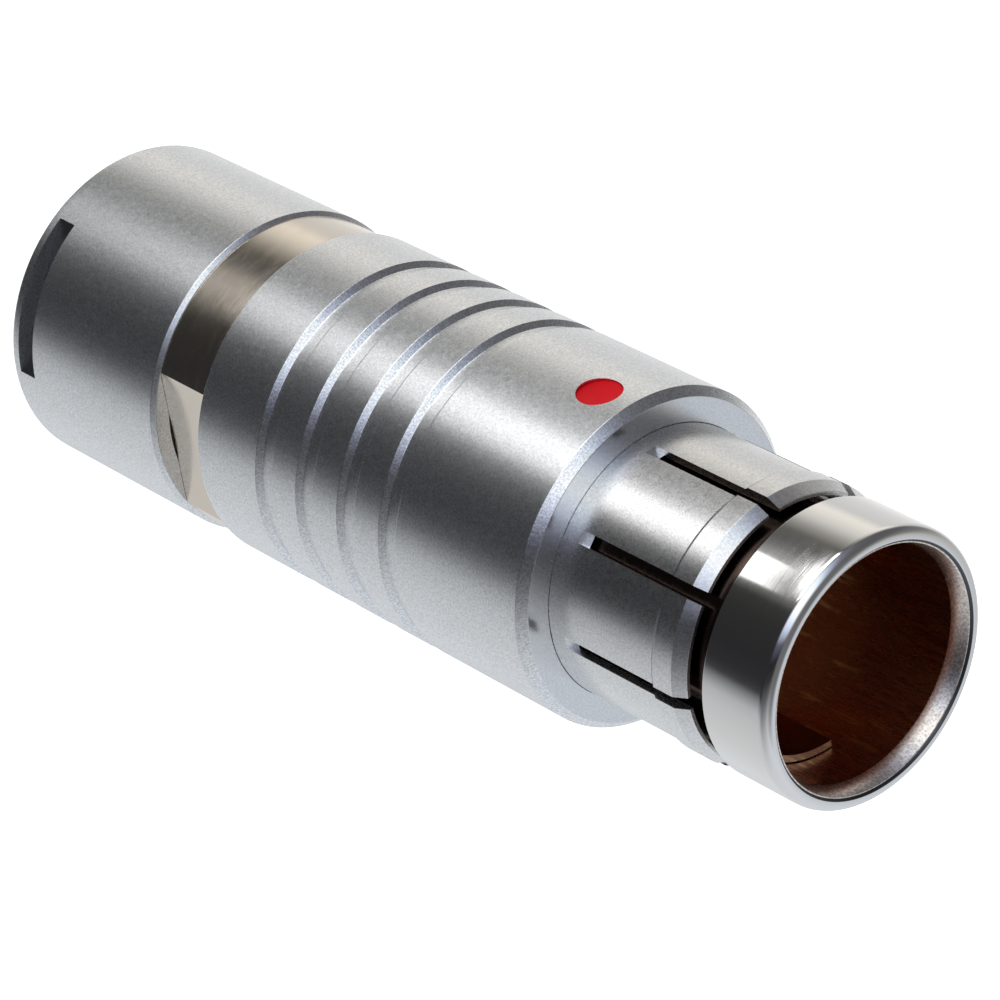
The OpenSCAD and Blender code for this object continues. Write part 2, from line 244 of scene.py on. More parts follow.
def bumped(tree, shader, heights, place=(-300, -300), lift=0.0):
    # chains bumps of (height output, distance in metres, strength), over a surface that may lean upwards
    normal = None
    if lift:
        surface = addNode(tree, "ShaderNodeNewGeometry", (place[0] - 600, place[1]))
        lean = addNode(tree, "ShaderNodeVectorMath", (place[0] - 400, place[1]), operation="ADD")
        lean.inputs[1].default_value = (0, 0, lift)
        even = addNode(tree, "ShaderNodeVectorMath", (place[0] - 200, place[1]), operation="NORMALIZE")
        tree.links.new(surface.outputs["Normal"], lean.inputs[0])
        tree.links.new(lean.outputs[0], even.inputs[0])
        normal = even.outputs[0]
    for i, (height, distance, strength) in enumerate(heights):
        bump = addNode(tree, "ShaderNodeBump", (place[0] + 200 * i, place[1]))
        bump.inputs["Distance"].default_value = distance
        bump.inputs["Strength"].default_value = strength
        tree.links.new(height, bump.inputs["Height"])
        if normal:
            tree.links.new(normal, bump.inputs["Normal"])
        normal = bump.outputs["Normal"]
    tree.links.new(normal, shader.inputs["Normal"])


def satinChrome(name, tone=(0.80, 0.81, 0.82), roughness=0.31, grain=1.0, scale=6500, depth=0.13,
                lift=0.0):
    # bead-blasted chrome: an even frosted grain, with a slight mottle in how matt it is
    material, tree, shader = metal(name, tone, roughness)
    fine = stretchedNoise(tree, scale, detail=2, place=(-900, 0))
    mottle = stretchedNoise(tree, scale * 0.4, detail=2, place=(-900, -300))
    share = ranged(tree, fine.outputs["Fac"], 0, 1, 0.34, 0.66, (-500, 200))
    darker = tuple(level * (1 - depth) for level in tone)
    lighter = tuple(level * (1 + depth) for level in tone)
    tree.links.new(mixedColour(tree, share, darker, lighter, (-300, 200)), shader.inputs["Base Color"])
    tree.links.new(ranged(tree, mottle.outputs["Fac"], roughness * 0.92, roughness * 1.08),
                   shader.inputs["Roughness"])
    bumped(tree, shader, [(noise.outputs["Fac"], 2.5e-6 * grain, 1.0) for noise in (fine, mottle)], lift=lift)
    return material


def turnedMetal(name, tone, roughness=(0.10, 0.2), lines=4.0e-6, waviness=3e-6, along=6000, around=60):
    # polished metal with fine turning lines that run round the axis, and a slight waviness
    material, tree, shader = metal(name, tone, 0.15)
    streak = stretchedNoise(tree, along, (around / along, around / along, 1), detail=4, place=(-900, 0))
    wave = stretchedNoise(tree, 700, (1, 1, 3), detail=3, place=(-900, -300))
    tree.links.new(ranged(tree, wave.outputs["Fac"], *roughness), shader.inputs["Roughness"])
    bumped(tree, shader, [(streak.outputs["Fac"], lines, 1.0), (wave.outputs["Fac"], waviness, 1.0)])
    return material


def honedBrassPaintedShade(name, paintedShadeAmber=(0.66, 0.27, 0.13), gold=(1.0, 0.66, 0.3)):
    # a bore whose brass is darkened to amber as painted shade of the deep hole, with golden streaks along the
    # axis and a few bright specks as painted highlights; the streaks are also honing marks, in the bump and
    # roughness
    material, tree, shader = metal(name, paintedShadeAmber, 0.3)
    streak = stretchedNoise(tree, 2600, (1, 1, 0.09), detail=4, rough=0.65, place=(-900, 0))
    patch = stretchedNoise(tree, 420, (1, 1, 0.6), detail=2, place=(-900, 300))
    speck = stretchedNoise(tree, 6500, detail=1, place=(-900, -300))
    both = addNode(tree, "ShaderNodeMath", (-350, 150), operation="MULTIPLY_ADD")
    shares = [ranged(tree, streak.outputs["Fac"], 0, 1.4, 0.52, 0.64, (-600, 0)),
              ranged(tree, patch.outputs["Fac"], 0, 1, 0.42, 0.56, (-600, 300)),
              ranged(tree, speck.outputs["Fac"], 0, 1, 0.74, 0.80, (-600, -300))]
    for share, socket in zip(shares, both.inputs):
        tree.links.new(share, socket)
    tree.links.new(mixedColour(tree, both.outputs[0], paintedShadeAmber, gold, (-150, 200)), shader.inputs["Base Color"])
    tree.links.new(ranged(tree, streak.outputs["Fac"], 0.34, 0.20), shader.inputs["Roughness"])
    bumped(tree, shader, [(streak.outputs["Fac"], 9e-6, 1.0), (speck.outputs["Fac"], 2e-6, 1.0)])
    return material


def paintedLightMetal(name, side, end, roughness):
    # metal with painted light: its ends across the axis get a painted highlight, whiter the more the normal
    # points up, and its walls a painted reflection of the brown bore
    material, tree, shader = metal(name, side, roughness)
    coords = addNode(tree, "ShaderNodeTexCoord", (-700, 0))
    split = addNode(tree, "ShaderNodeSeparateXYZ", (-500, 0))
    tree.links.new(coords.outputs["Normal"], split.inputs[0])
    tree.links.new(mixedColour(tree, split.outputs["Z"], side, end, (-300, 0)), shader.inputs["Base Color"])
    return material


def simpleCoat(name, colour, roughness, grainScale=3000, grain=3e-6, specular=0.5):
    material, tree, shader = metal(name, colour, roughness)
    shader.inputs["Metallic"].default_value = 0.0
    shader.inputs["Specular IOR Level"].default_value = specular
    cloud = stretchedNoise(tree, grainScale, detail=3)
    tree.links.new(ranged(tree, cloud.outputs["Fac"], roughness * 0.8, roughness * 1.3),
                   shader.inputs["Roughness"])
    bumped(tree, shader, [(cloud.outputs["Fac"], grain, 1.0)])
    return material


finish = {
    "nut": satinChrome("satinChromeNut", depth=0.17),
    "grip": satinChrome("satinChromeGrip", depth=0.17),
    "gripEdge": satinChrome("satinChromeGripEdge", roughness=0.26, grain=2.4, scale=6500, depth=0.2),
    "gripFace": satinChrome("satinChromeGripFace", roughness=0.23, grain=0.35, depth=0.07),
    "latch": satinChrome("satinChromeLatch", (0.77, 0.77, 0.77), roughness=0.28, grain=0.45, depth=0.14),
    "body": turnedMetal("polishedNickelBody", (0.80, 0.72, 0.62), (0.12, 0.22)),
    "collar": turnedMetal("polishedChromeCollar", (0.82, 0.81, 0.79), (0.08, 0.12), lines=1.5e-6,
                          waviness=8e-7),
    # the bore: brass with painted shade, and painted highlights in its golden streaks and specks
    "bore": honedBrassPaintedShade("noseBrass"),
    "mouth": satinChrome("noseNickel", (0.86, 0.78, 0.71), roughness=0.3, grain=1.6, scale=5500, depth=0.3,
                         lift=0.17),
    "seam": turnedMetal("seamShadow", (0.10, 0.10, 0.11), (0.3, 0.4)),
    # a dark satin chrome as painted light: a painted dark reflection on the nut's spanner flats, and painted
    # shade on the rear faces of the latch lugs
    "step": satinChrome("satinChromePaintedShade", (0.30, 0.30, 0.31)),
    # the tube's outside under the sleeve, painted near black as painted shade
    "neck": turnedMetal("noseNickelPaintedShade", (0.09, 0.06, 0.05), (0.16, 0.28)),
    # the half shells: painted reflection of the bore on the walls, painted highlight on the upward ends
    "halfShell": paintedLightMetal("nickelHalfShellPaintedLight", (0.30, 0.13, 0.07), (1.0, 1.0, 1.0), 0.24),
    "collet": turnedMetal("colletBrass", (0.78, 0.58, 0.30)),
    "steel": turnedMetal("springSteel", (0.45, 0.45, 0.47)),
    "insulator": simpleCoat("insulatorPlastic", (0.75, 0.72, 0.64), 0.45),
    "gold": turnedMetal("contactGold", (1.0, 0.72, 0.28)),
    "enamel": simpleCoat("redEnamel", (0.51, 0.001, 0.006), 0.42, 1500, 3e-6, specular=0.06),
}
print("finishes ready", len(finish))


nut = {"radius": 12.45, "rearRound": 0.35, "frontChamfer": 0.3, "threadBore": 10.54, "threadEnd": 6.6,
       "leadIn": 0.4, "seatMouth": 9.79, "seatEnd": 8.1, "wall": 2.9, "opening": 7.1, "flatWidth": 21.8,
       "rim": 0.9, "flatEnd": 2.65, "flatTurn": -31, "edge": 0.08, "columns": 160}
hair = 0.001  # half the height in which a flat gives way to the round


def makeBackNut():
    low, high, _ = stations("back_nut")
    radius, rearRound, chamfer = nut["radius"], nut["rearRound"], nut["frontChamfer"]
    bore, leadIn = nut["threadBore"], nut["leadIn"]
    section = [(nut["opening"], low)]
    section += quarter(radius - rearRound, low + rearRound, rearRound, -90)
    # the two walls of the spanner slots
    for wall in (nut["rim"], nut["flatEnd"]):
        section += [(radius, wall - hair, 0), (radius, wall + hair, 0)]
    section += [(radius, high - chamfer), (radius - chamfer, high), (bore + leadIn, high),
                (bore, high - leadIn), (bore, nut["threadEnd"]), (nut["seatMouth"], nut["threadEnd"]),
                (nut["seatEnd"], nut["wall"]), (nut["opening"], nut["wall"])]
    flats = {"width": nut["flatWidth"], "radius": radius, "turn": nut["flatTurn"],
             "low": nut["rim"], "high": nut["flatEnd"]}
    piece = turned("backNut", softened(section, nut["edge"]), aroundAngles(nut["columns"], flats), flats)
    piece.data.materials.append(finish["nut"])
    # the spanner flats get the dark finish, a painted dark reflection
    faced(piece, finish["step"], lambda r, z, up: nut["rim"] < z < nut["flatEnd"]
          and bore < r < radius - 0.03 and abs(up) < 0.5)
    placed(piece, "nut", "satin_chrome_nut", "back_nut")


makeBackNut()


body = {"band": 12.15, "shoulder": 17.23, "bandFront": 23.4, "threadRadius": 10.44, "stem": 11.09,
        "stemFront": 48.4, "groove": 10.29, "grooveRear": 46.2, "grooveFront": 47.3, "seat": 10.35,
        "shellBore": 8.6, "shellRear": 36.4, "bore": 7.6, "colletBore": 9.04, "colletFront": 14.55,
        "flatWidth": 21.5, "flatRear": 16.5, "flatFront": 23.42, "edge": 0.07, "columns": 160}


def makeRearBody():
    low, high, _ = stations("rear_body")
    band, stem = body["band"], body["stem"]
    section = [(body["colletBore"], low), (body["threadRadius"], low),
               (body["threadRadius"], body["shoulder"]), (band, body["shoulder"]),
               (band, body["bandFront"]), (stem, body["bandFront"]), (stem, body["grooveRear"]),
               (body["groove"], body["grooveRear"]), (body["groove"], body["grooveFront"]),
               (stem, body["grooveFront"]), (stem, body["stemFront"]), (body["seat"], body["stemFront"]),
               (body["seat"], high), (body["shellBore"], high), (body["shellBore"], body["shellRear"]),
               (body["bore"], body["shellRear"]), (body["bore"], body["colletFront"]),
               (body["colletBore"], body["colletFront"])]
    flats = {"width": body["flatWidth"], "radius": band, "turn": 0,
             "low": body["flatRear"], "high": body["flatFront"]}
    piece = turned("rearBody", softened(section, body["edge"]), aroundAngles(body["columns"], flats), flats)
    piece.data.materials.append(finish["body"])
    placed(piece, "core", "polished_nickel_body", "rear_body")


makeRearBody()


grip = {"radius": 12.5, "firstGroove": 29.07, "pitch": 4.48, "grooves": 4, "width": 1.8, "depth": 0.4,
        "rearChamfer": 0.15, "chamferIn": 0.6, "chamferBack": 0.66, "faceBore": 10.08, "faceBoreEdge": 0.015,
        "faceWall": 2.4, "ringBore": 11.6, "ringRear": 46.2, "bore": 11.15, "bandFront": 26.0,
        "bandBore": 12.21, "edge": 0.07, "columns": 160}
dot = {"size": 3.3, "back": 3.65, "depth": 0.4, "sunk": 0.22, "gap": 0.02, "hollow": 0.09,
       "rings": 10, "columns": 64, "cutterColumns": 96, "cutterLength": 4}
coreRadius = 1.0  # the sweep's path, from which the section is measured outwards
mergeReach = 1e-6  # in metres: points nearer than this become one


def sectionLine(name, points):
    # a polyline in the XY plane, x outwards from the sweep's path and y along the axis, in metres
    mesh = bpy.data.meshes.new(name)
    edges = [(i, i + 1) for i in range(len(points) - 1)]
    mesh.from_pydata([((r - coreRadius) * mm, z * mm, 0) for r, z in points], edges, [])
    obj = bpy.data.objects.new(name, mesh)
    bpy.context.scene.collection.objects.link(obj)
    return obj


def openSoftened(points, radius):
    # the same rounding for an open run, whose two ends stay where they are
    ends = (0, len(points) - 1)
    return softened([(*point[:2], 0) if i in ends else point for i, point in enumerate(points)], radius)


def groovedSleeveTree():
    tree, source, output = freshTree("groovedSleeve", [
        ("Groove Section", "Object"), ("Grooves", "Int"), ("First Groove", "Float"), ("Pitch", "Float"),
        ("Columns", "Int"), ("Dot Radius", "Float"), ("Dot Height", "Float"), ("Dot Floor", "Float"),
        ("Finish", "Material")])
    link = tree.links.new
    cell = addNode(tree, "GeometryNodeObjectInfo", (-700, 300))
    start = addNode(tree, "ShaderNodeCombineXYZ", (-700, 150))
    step = addNode(tree, "ShaderNodeCombineXYZ", (-700, 0))
    row = addNode(tree, "GeometryNodeMeshLine", (-500, 150))
    onRow = addNode(tree, "GeometryNodeInstanceOnPoints", (-300, 200))
    real = addNode(tree, "GeometryNodeRealizeInstances", (-120, 200))
    join = addNode(tree, "GeometryNodeJoinGeometry", (20, 100))
    merge = addNode(tree, "GeometryNodeMergeByDistance", (160, 100))
    merge.inputs["Distance"].default_value = mergeReach
    profile = addNode(tree, "GeometryNodeMeshToCurve", (300, 100))
    circle = addNode(tree, "GeometryNodeCurvePrimitiveCircle", (160, -100))
    circle.inputs["Radius"].default_value = coreRadius * mm
    sweep = addNode(tree, "GeometryNodeCurveToMesh", (440, 50))
    upright = addNode(tree, "GeometryNodeTransform", (560, 200))
    upright.inputs["Rotation"].default_value = (pi, 0, 0)
    cutter = addNode(tree, "GeometryNodeMeshCylinder", (160, -300))
    cutter.inputs["Vertices"].default_value = dot["cutterColumns"]
    cutter.inputs["Depth"].default_value = dot["cutterLength"] * mm
    place = addNode(tree, "GeometryNodeTransform", (440, -300))
    place.inputs["Rotation"].default_value = (pi / 2, 0, 0)
    spot = addNode(tree, "ShaderNodeCombineXYZ", (300, -450))
    cutY = addNode(tree, "ShaderNodeMath", (160, -500), operation="MULTIPLY_ADD")
    cutY.inputs[1].default_value = -1
    cutY.inputs[2].default_value = -dot["cutterLength"] / 2 * mm
    bore = addNode(tree, "GeometryNodeMeshBoolean", (600, 0), operation="DIFFERENCE", solver="EXACT")
    realize = addNode(tree, "GeometryNodeRealizeInstances", (700, 150))
    paint = addNode(tree, "GeometryNodeSetMaterial", (760, 0))
    link(source.outputs["Groove Section"], cell.inputs["Object"])
    link(source.outputs["First Groove"], start.inputs["Y"])
    link(source.outputs["Pitch"], step.inputs["Y"])
    link(source.outputs["Grooves"], row.inputs["Count"])
    link(start.outputs[0], row.inputs["Start Location"])
    link(step.outputs[0], row.inputs["Offset"])
    link(row.outputs["Mesh"], onRow.inputs["Points"])
    link(cell.outputs["Geometry"], onRow.inputs["Instance"])
    link(onRow.outputs["Instances"], real.inputs["Geometry"])
    link(real.outputs["Geometry"], join.inputs["Geometry"])
    link(source.outputs["Geometry"], join.inputs["Geometry"])
    link(join.outputs["Geometry"], merge.inputs["Geometry"])
    link(merge.outputs["Geometry"], profile.inputs["Mesh"])
    link(source.outputs["Columns"], circle.inputs["Resolution"])
    link(circle.outputs["Curve"], sweep.inputs["Curve"])
    link(profile.outputs["Curve"], sweep.inputs["Profile Curve"])
    link(source.outputs["Dot Radius"], cutter.inputs["Radius"])
    link(source.outputs["Dot Floor"], cutY.inputs[0])
    link(cutY.outputs[0], spot.inputs["Y"])
    link(source.outputs["Dot Height"], spot.inputs["Z"])
    link(spot.outputs[0], place.inputs["Translation"])
    link(cutter.outputs["Mesh"], place.inputs["Geometry"])
    link(sweep.outputs["Mesh"], upright.inputs["Geometry"])
    link(upright.outputs["Geometry"], bore.inputs["Mesh 1"])
    link(place.outputs["Geometry"], bore.inputs["Mesh 2"])
    link(bore.outputs["Mesh"], realize.inputs["Geometry"])
    link(realize.outputs["Geometry"], paint.inputs["Geometry"])
    link(source.outputs["Finish"], paint.inputs["Material"])
    link(paint.outputs["Geometry"], output.inputs["Geometry"])
    return tree


def makeGripSleeve():
    low, high, _ = stations("grip_sleeve")
    radius, first, pitch, depth = grip["radius"], grip["firstGroove"], grip["pitch"], grip["depth"]
    width, rearChamfer, faceRear = grip["width"], grip["rearChamfer"], high - grip["faceWall"]
    land = 0.2
    end = first + pitch * grip["grooves"]
    # one groove with the land in front of it, then the rest of the section round the inside
    cell = openSoftened([(radius, 0), (radius, land), (radius - depth, land + depth),
                         (radius - depth, land + width - depth), (radius, land + width), (radius, pitch)],
                        grip["edge"])
    rest = openSoftened([(radius, end - land), (radius, high - grip["chamferBack"]),
                         (radius - grip["chamferIn"], high), (grip["faceBore"], high, grip["faceBoreEdge"]),
                         (grip["faceBore"], faceRear), (grip["ringBore"], faceRear),
                         (grip["ringBore"], grip["ringRear"]), (grip["bore"], grip["ringRear"]),
                         (grip["bore"], grip["bandFront"]), (grip["bandBore"], grip["bandFront"]),
                         (grip["bandBore"], low), (radius - rearChamfer, low), (radius, low + rearChamfer),
                         (radius, first - land)], grip["edge"])
    cellObject = sectionLine("grooveCell", cell)
    piece = sectionLine("gripSleeve", rest)
    grown(piece, groovedSleeveTree(), {
        "Groove Section": cellObject, "Grooves": grip["grooves"], "First Groove": (first - land) * mm,
        "Pitch": pitch * mm, "Columns": grip["columns"], "Dot Radius": dot["size"] / 2 * mm,
        "Dot Height": (high - dot["back"]) * mm, "Dot Floor": (radius - dot["depth"]) * mm,
        "Finish": finish["grip"]})
    bpy.data.objects.remove(cellObject)
    cleaned(piece)
    faced(piece, finish["gripEdge"], lambda r, z, up: r > radius - 0.7 and abs(up) > 0.4)
    faced(piece, finish["gripFace"], lambda r, z, up: r < radius - grip["chamferIn"] and up > 0.9
          and z > high - 0.1)
    placed(piece, "grip", "satin_chrome_grip", "grip_sleeve")


makeGripSleeve()


def makeIndexDot():
    low, high, _ = stations("index_dot")
    centre = (low + high) / 2
    floor, face = grip["radius"] - dot["depth"], grip["radius"] - dot["sunk"]
    size, rings, columns = dot["size"] / 2 - dot["gap"], dot["rings"], dot["columns"]
    angles = [2 * pi * k / columns for k in range(columns)]
    verts, faces = [], []
    for i in range(rings + 1):
        share = i / rings
        depth = face - dot["hollow"] * (1 - share ** 2)
        verts += [(size * share * cos(a) * mm, -depth * mm, (centre + size * share * sin(a)) * mm)
                  for a in angles]
    verts += [(size * cos(a) * mm, -floor * mm, (centre + size * sin(a)) * mm) for a in angles]
    verts.append((0, -floor * mm, centre * mm))
    for i in range(rings + 1):
        row, nextRow = i * columns, (i + 1) * columns
        for k in range(columns):
            nextCol = (k + 1) % columns
            faces.append((row + k, row + nextCol, nextRow + nextCol, nextRow + k))
    last = (rings + 1) * columns
    faces += [(last + k, last + (k + 1) % columns, len(verts) - 1) for k in range(columns)]
    mesh = bpy.data.meshes.new("indexDot")
    mesh.from_pydata(verts, [], faces)
    piece = finishedMesh("indexDot", mesh, 35)
    piece.data.materials.append(finish["enamel"])
    placed(piece, "grip", "red_enamel", "index_dot")


makeIndexDot()


latch = {"fingers": 8, "slitWidth": 0.95, "turn": 2.5, "radius": 10.05, "bore": 9.45, "neck": 9.0,
         "boreRear": 51.65, "skirtBore": 10.4, "skirt": 11.09, "skirtFront": 52.35, "lug": 10.25,
         "lugLength": 2.8, "lugRamp": 0.3, "tipLength": 1.0, "tipDrop": 0.5, "slitStart": 58.8, "cutter": 2.5,
         "runOutSteps": 8, "columns": 10, "edge": 0.05}


def latchSection():
    # the closed section, with the index of its point where the slit starts and the run-out from there inwards
    low, high, _ = stations("latch_sleeve")
    radius, bore, lug, slitStart = latch["radius"], latch["bore"], latch["lug"], latch["slitStart"]
    centre = latch["neck"] + latch["cutter"]

    def reach(r):
        # how far the disc that cut the slit reaches along the axis, at a radius
        return sqrt(latch["cutter"] ** 2 - (centre - r) ** 2)

    disc = slitStart + reach(radius)
    lugRear = high - latch["lugLength"]
    raw = [(bore, disc - reach(bore), 0), (bore, latch["boreRear"]), (latch["skirtBore"], latch["boreRear"]),
           (latch["skirtBore"], low), (latch["skirt"], low), (latch["skirt"], latch["skirtFront"]),
           (radius, latch["skirtFront"]), (radius, slitStart, 0), (radius, lugRear - latch["lugRamp"]),
           (lug, lugRear), (lug, high - latch["tipLength"]), (lug - latch["tipDrop"], high), (bore, high)]
    points = softened(raw, latch["edge"], 4)
    start = min(range(len(points)), key=lambda i: hypot(points[i][0] - radius, points[i][1] - slitStart))
    steps = latch["runOutSteps"]
    depths = [radius + (bore - radius) * i / steps for i in range(1, steps)]
    return points, start, [(r, disc - reach(r)) for r in depths]


def fingerCell():
    # one slit with half a finger on each side, to be set round the axis
    points, start, arc = latchSection()
    half, spread, steps = latch["slitWidth"] / 2, pi / latch["fingers"], latch["columns"]
    verts, faces, index = [], [], {}

    def vertex(key, r, angle, z):
        if key not in index:
            index[key] = len(verts)
            verts.append((r * cos(angle) * mm, r * sin(angle) * mm, z * mm))
        return index[key]

    def column(side, i, k):
        r, z = points[i % len(points)]
        edge = asin(half / r)
        return vertex((side, i % len(points), k), r, side * (spread + (edge - spread) * k / steps), z)

    for side in (-1, 1):
        for i in range(len(points)):
            for k in range(steps):
                faces.append((column(side, i, k), column(side, i + 1, k),
                              column(side, i + 1, k + 1), column(side, i, k + 1)))
        ramp = [vertex((side, "arc", j), r, side * asin(half / r), z) for j, (r, z) in enumerate(arc)]
        rim = [column(side, i, steps) for i in [*range(start, len(points)), 0]]
        faces.append(tuple(rim + ramp[::-1]))
    # the closed part behind the slit, and the run-out between the two walls
    for i in range(start):
        faces.append((column(-1, i, steps), column(-1, i + 1, steps),
                      column(1, i + 1, steps), column(1, i, steps)))
    left, right = ([column(side, start, steps), *(index[(side, "arc", j)] for j in range(len(arc))),
                    column(side, 0, steps)] for side in (-1, 1))
    for j in range(len(left) - 1):
        faces.append((left[j], left[j + 1], right[j + 1], right[j]))
    mesh = bpy.data.meshes.new("fingerCell")
    mesh.from_pydata(verts, [], faces)
    obj = bpy.data.objects.new("latchSleeve", mesh)
    bpy.context.scene.collection.objects.link(obj)
    return obj


def ringArrayTree():
    tree, source, output = freshTree("ringArray", [
        ("Count", "Int"), ("Turn", "Float"), ("Finish", "Material")])
    link = tree.links.new
    row = addNode(tree, "GeometryNodeMeshLine", (-700, 100))
    row.inputs["Offset"].default_value = (0, 0, 0)
    number = addNode(tree, "GeometryNodeInputIndex", (-700, -100))
    share = addNode(tree, "ShaderNodeMath", (-500, -100), operation="DIVIDE")
    angle = addNode(tree, "ShaderNodeMath", (-350, -100), operation="MULTIPLY_ADD")
    angle.inputs[1].default_value = 2 * pi
    turn = addNode(tree, "ShaderNodeCombineXYZ", (-200, -100))
    ring = addNode(tree, "GeometryNodeInstanceOnPoints", (0, 50))
    real = addNode(tree, "GeometryNodeRealizeInstances", (200, 50))
    merge = addNode(tree, "GeometryNodeMergeByDistance", (400, 50))
    merge.inputs["Distance"].default_value = mergeReach
    paint = addNode(tree, "GeometryNodeSetMaterial", (600, 50))
    link(source.outputs["Count"], row.inputs["Count"])
    link(row.outputs["Mesh"], ring.inputs["Points"])
    link(source.outputs["Geometry"], ring.inputs["Instance"])
    link(number.outputs["Index"], share.inputs[0])
    link(source.outputs["Count"], share.inputs[1])
    link(share.outputs[0], angle.inputs[0])
    link(source.outputs["Turn"], angle.inputs[2])
    link(angle.outputs[0], turn.inputs["Z"])
    link(turn.outputs[0], ring.inputs["Rotation"])
    link(ring.outputs["Instances"], real.inputs["Geometry"])
    link(real.outputs["Geometry"], merge.inputs["Geometry"])
    link(merge.outputs["Geometry"], paint.inputs["Geometry"])
    link(source.outputs["Finish"], paint.inputs["Material"])
    link(paint.outputs["Geometry"], output.inputs["Geometry"])
    return tree


def makeLatchSleeve():
    piece = fingerCell()
    grown(piece, ringArrayTree(), {"Count": latch["fingers"], "Turn": radians(latch["turn"] - 90),
                                   "Finish": finish["latch"]})
    cleaned(piece, 25)
    # the rear faces of the lugs get the dark finish, a painted shade line
    faced(piece, finish["step"], lambda r, z, up: r > latch["radius"] and z > latch["slitStart"]
          and up < -0.2)
    placed(piece, "core", "satin_chrome_latch", "latch_sleeve")


makeLatchSleeve()


nose = {"bore": 8.6, "outer": 9.05, "neck": 9.0, "spigot": 10.35, "flange": 0.8, "bevelLength": 1.35,
        "bevelWidth": 0.35, "crown": [(0.22, 0.63), (0.48, 0.31), (0.74, 0.11), (1.0, 0.0)], "edge": 0.06,
        "columns": 160}
collar = {"radius": 10.1, "lipRound": 0.75, "inset": 0.15, "edge": 0.08}


def makeNose():
    low, high, _ = stations("nose_tube")
    collarRear = stations("front_collar")[0]
    section = [(nose["bore"], low), (nose["spigot"], low), (nose["spigot"], low + nose["flange"]),
               (nose["neck"], low + nose["flange"]), (nose["neck"], collarRear),
               (nose["outer"], collarRear), (nose["outer"], high),
               (nose["bore"] + nose["bevelWidth"], high)]
    for along, across in nose["crown"]:
        section.append((nose["bore"] + nose["bevelWidth"] * across, high - nose["bevelLength"] * along))
    tube = turned("noseTube", softened(section, nose["edge"]), aroundAngles(nose["columns"]))
    tube.data.materials.append(finish["bore"])
    faced(tube, finish["mouth"], lambda r, z, up: r > nose["bore"] + 0.01 and z > collarRear + 1)
    # the outside of the tube under the sleeve and collar gets the painted shade
    faced(tube, finish["neck"], lambda r, z, up: r > nose["bore"] + 0.3 and z < collarRear + 1)
    placed(tube, "core", "nose_brass", "nose_tube")
    low, high, _ = stations("front_collar")
    edge, radius, lip = collar["inset"], collar["radius"], collar["lipRound"]
    section = [(nose["outer"], low), (radius - edge, low), (radius, low + edge)]
    section += quarter(radius - lip, high - lip, lip, 0)
    section += [(nose["outer"] + edge, high), (nose["outer"], high - edge)]
    ring = turned("frontCollar", softened(section, collar["edge"]), aroundAngles(nose["columns"]))
    ring.data.materials.append(finish["collar"])
    faced(ring, finish["seam"], lambda r, z, up: r < nose["outer"] + edge + 0.01 and z > high - 0.3)
    placed(ring, "core", "polished_chrome_collar", "front_collar")


makeNose()


def dress(node, material):
    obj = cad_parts[node]
    obj.data.materials.clear()
    obj.data.materials.append(material)


dress("cable_collet", finish["collet"])
dress("retaining_ring", finish["steel"])
dress("insulator", finish["insulator"])
# the half shells take the finish with the painted bore reflection and the painted end highlight
dress("long_half_shell", finish["halfShell"])
dress("short_half_shell", finish["halfShell"])
for i in range(1, 11):
    dress(f"contact_{i}", finish["gold"])
print("kept nodes dressed")


view = {"place": (0.169506, -0.184337, 0.266910), "along": (-0.50087, 0.54990, -0.66839),
        "roll": 117.03, "lens": 171.98}


def makeCamera():
    data = bpy.data.cameras.new("camera")
    data.sensor_width = 36
    data.lens = view["lens"]
    data.clip_start = 0.005
    camera = bpy.data.objects.new("camera", data)
    bpy.context.scene.collection.objects.link(camera)
    along = Vector(view["along"]).normalized()
    right = along.cross(Vector((0, 0, 1))).normalized()
    up = right.cross(along)
    roll = radians(view["roll"])
    newUp = up * cos(roll) - right * sin(roll)
    newRight = along.cross(newUp)
    turn = Matrix((newRight, newUp, -along)).transposed()
    camera.matrix_world = Matrix.Translation(view["place"]) @ turn.to_4x4()
    bpy.context.scene.camera = camera
    bpy.context.scene.view_settings.view_transform = "Standard"


# what stands round the connector: bearing from the lens in degrees and its light, as a grey level or a
# colour, below and above eye level
lower = [(-180, 0.88), (-164, 0.97), (-152, 0.86), (-140, 0.77), (-125, 0.71), (-116, 0.68),
         (-106, (0.98, 0.94, 0.87)), (-98, (0.86, 0.83, 0.78)), (-90, (0.69, 0.68, 0.65)),
         (-80, (0.36, 0.35, 0.33)), (-70, (0.12, 0.12, 0.11)), (-60, 0.1), (-52, 0.16), (-44, 0.34),
         (-32, 0.38), (-22, 0.22), (-10, 0.04), (4, 0.03), (30, (0.025, 0.025, 0.028)),
         (46, (0.03, 0.03, 0.033)), (54, (0.05, 0.05, 0.055)), (62, (0.29, 0.30, 0.31)),
         (70, (0.5, 0.52, 0.54)), (80, (0.58, 0.6, 0.62)), (90, (0.62, 0.64, 0.66)),
         (110, (0.68, 0.7, 0.72)), (140, (0.75, 0.78, 0.81)), (160, (0.7, 0.72, 0.74)),
         (172, (0.7, 0.71, 0.72)), (180, 0.88)]
